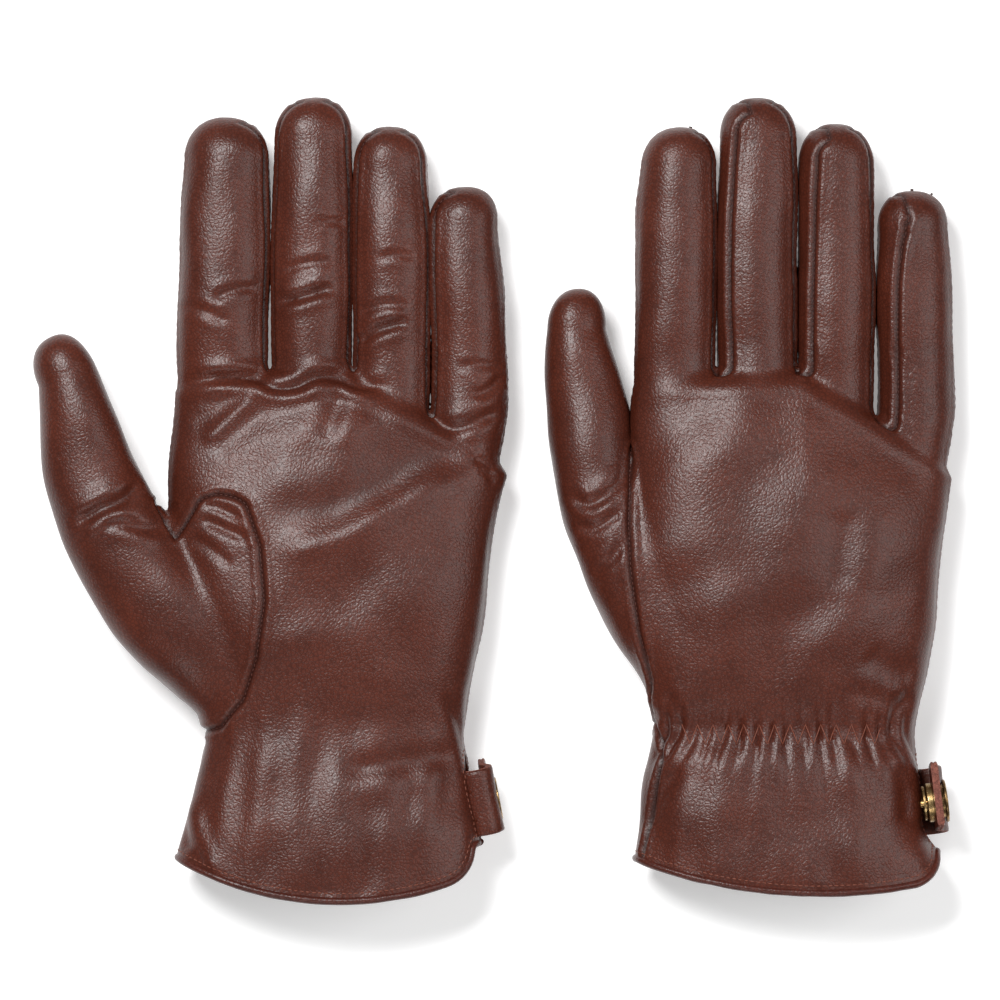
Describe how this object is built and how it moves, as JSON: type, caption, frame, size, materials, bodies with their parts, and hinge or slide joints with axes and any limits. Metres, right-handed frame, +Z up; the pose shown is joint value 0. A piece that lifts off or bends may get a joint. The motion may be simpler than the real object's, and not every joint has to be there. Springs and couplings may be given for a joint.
{
  "type": "pair of leather gloves",
  "caption": "Pair of lined leather gloves, left palm up and right back up, with a gathered wrist, a vent and a snap tab on each cuff.",
  "frame": {"origin": "centre of the pair's footprint, on the surface that the gloves lie on", "axes": "+X across the pair towards the little fingers, +Y towards the fingertips, +Z up"},
  "size_m": [0.2905, 0.2555, 0.0376],
  "materials": {
    "leather": "smooth grained lambskin, chestnut brown",
    "piping_leather": "rolled leather piping",
    "tab_leather": "doubled leather with raw cut edges",
    "lining": "fine brushed knit",
    "elastic": "woven elastic",
    "thread": "twisted sewing thread",
    "brass": "antique brass, lightly worn"
  },
  "bodies": {
    "left_glove": {"left_palm_panel": "leather", "left_back_panel": "leather", "left_thumb": "leather", "left_fourchette_index_middle": "leather", "left_fourchette_middle_ring": "leather", "left_fourchette_ring_little": "leather", "left_lining": "lining", "left_hem_piping": "piping_leather", "left_wrist_elastic": "elastic", "left_snap_stud": "brass", "left_snap_post": "brass", "left_hem_stitching": "thread", "left_vent_stitching": "thread", "left_wrist_zigzag": "thread"},
    "left_tab": {"left_snap_tab": "tab_leather", "left_snap_cap": "brass", "left_snap_socket": "brass"},
    "right_glove": {"right_palm_panel": "leather", "right_back_panel": "leather", "right_thumb": "leather", "right_fourchette_index_middle": "leather", "right_fourchette_middle_ring": "leather", "right_fourchette_ring_little": "leather", "right_lining": "lining", "right_hem_piping": "piping_leather", "right_wrist_elastic": "elastic", "right_snap_stud": "brass", "right_snap_post": "brass", "right_hem_stitching": "thread", "right_vent_stitching": "thread", "right_wrist_zigzag": "thread"},
    "right_tab": {"right_snap_tab": "tab_leather", "right_snap_cap": "brass", "right_snap_socket": "brass"}
  },
  "joints": [
    {"name": "left_tab_open", "type": "hinge", "parent": "left_glove", "child": "left_tab", "pos_m": [-0.00832, -0.09695, 0.03073], "axis": [0.1878, -0.9822, 0], "range_deg": [0, 120]},
    {"name": "right_glove_slide", "type": "slide", "parent": "left_glove", "child": "right_glove", "axis": [1, 0, 0], "range_m": [0, 0.06]},
    {"name": "right_tab_open", "type": "hinge", "parent": "right_glove", "child": "right_tab", "pos_m": [0.13342, -0.0968, 0.00612], "axis": [-0.1266, 0.9919, 0], "range_deg": [0, 60]}
  ]
}
